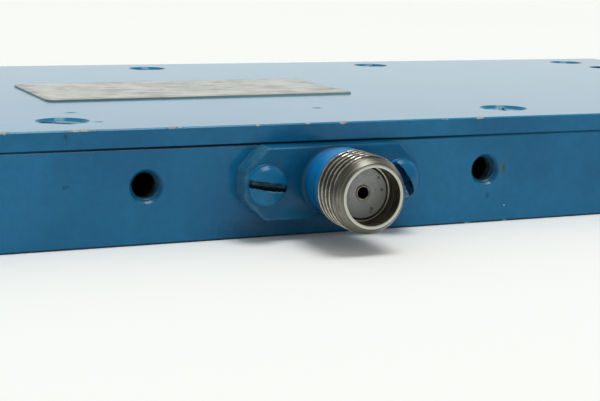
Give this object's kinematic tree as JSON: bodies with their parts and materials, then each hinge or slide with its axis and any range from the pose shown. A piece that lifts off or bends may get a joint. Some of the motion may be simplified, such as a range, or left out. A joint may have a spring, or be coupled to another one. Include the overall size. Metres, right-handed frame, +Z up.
{
  "type": "rf power splitter",
  "caption": "Flat rectangular metal case with a screwed lid, a threaded coaxial socket on one long side and a row of them on the other; splits a radio signal into equal shares.",
  "frame": {"origin": "middle of the underside of the case", "axes": "+X along the case, +Y from the input side to the output side, +Z up through the lid"},
  "size_m": [0.1396, 0.08, 0.0097],
  "materials": {
    "blue_paint": "satin blue paint, chipped at edges",
    "plate_metal": "bare brushed plate, smudged",
    "socket_metal": "bare passivated metal at the thread, painted behind",
    "insulator": "waxy white fluoropolymer",
    "contact_metal": "gold-plated",
    "board": "glass-filled laminate",
    "copper": "etched copper",
    "resistor_body": "fired glaze",
    "screw_metal": "plain steel"
  },
  "bodies": {
    "root": {"housing": "blue_paint", "lid": "blue_paint", "lid_screws": "blue_paint", "nameplate": "plate_metal", "input_shell": "socket_metal", "input_insulator": "insulator", "input_contact": "contact_metal", "input_flange_screws": "blue_paint", "output_1_shell": "socket_metal", "output_1_insulator": "insulator", "output_1_contact": "contact_metal", "output_2_shell": "socket_metal", "output_2_insulator": "insulator", "output_2_contact": "contact_metal", "output_3_shell": "socket_metal", "output_3_insulator": "insulator", "output_3_contact": "contact_metal", "output_4_shell": "socket_metal", "output_4_insulator": "insulator", "output_4_contact": "contact_metal", "output_5_shell": "socket_metal", "output_5_insulator": "insulator", "output_5_contact": "contact_metal", "output_6_shell": "socket_metal", "output_6_insulator": "insulator", "output_6_contact": "contact_metal", "output_7_shell": "socket_metal", "output_7_insulator": "insulator", "output_7_contact": "contact_metal", "output_8_shell": "socket_metal", "output_8_insulator": "insulator", "output_8_contact": "contact_metal", "output_flange_screws": "blue_paint", "divider_board": "board", "divider_trace": "copper", "isolation_resistors": "resistor_body", "board_screws": "screw_metal"}
  },
  "joints": []
}
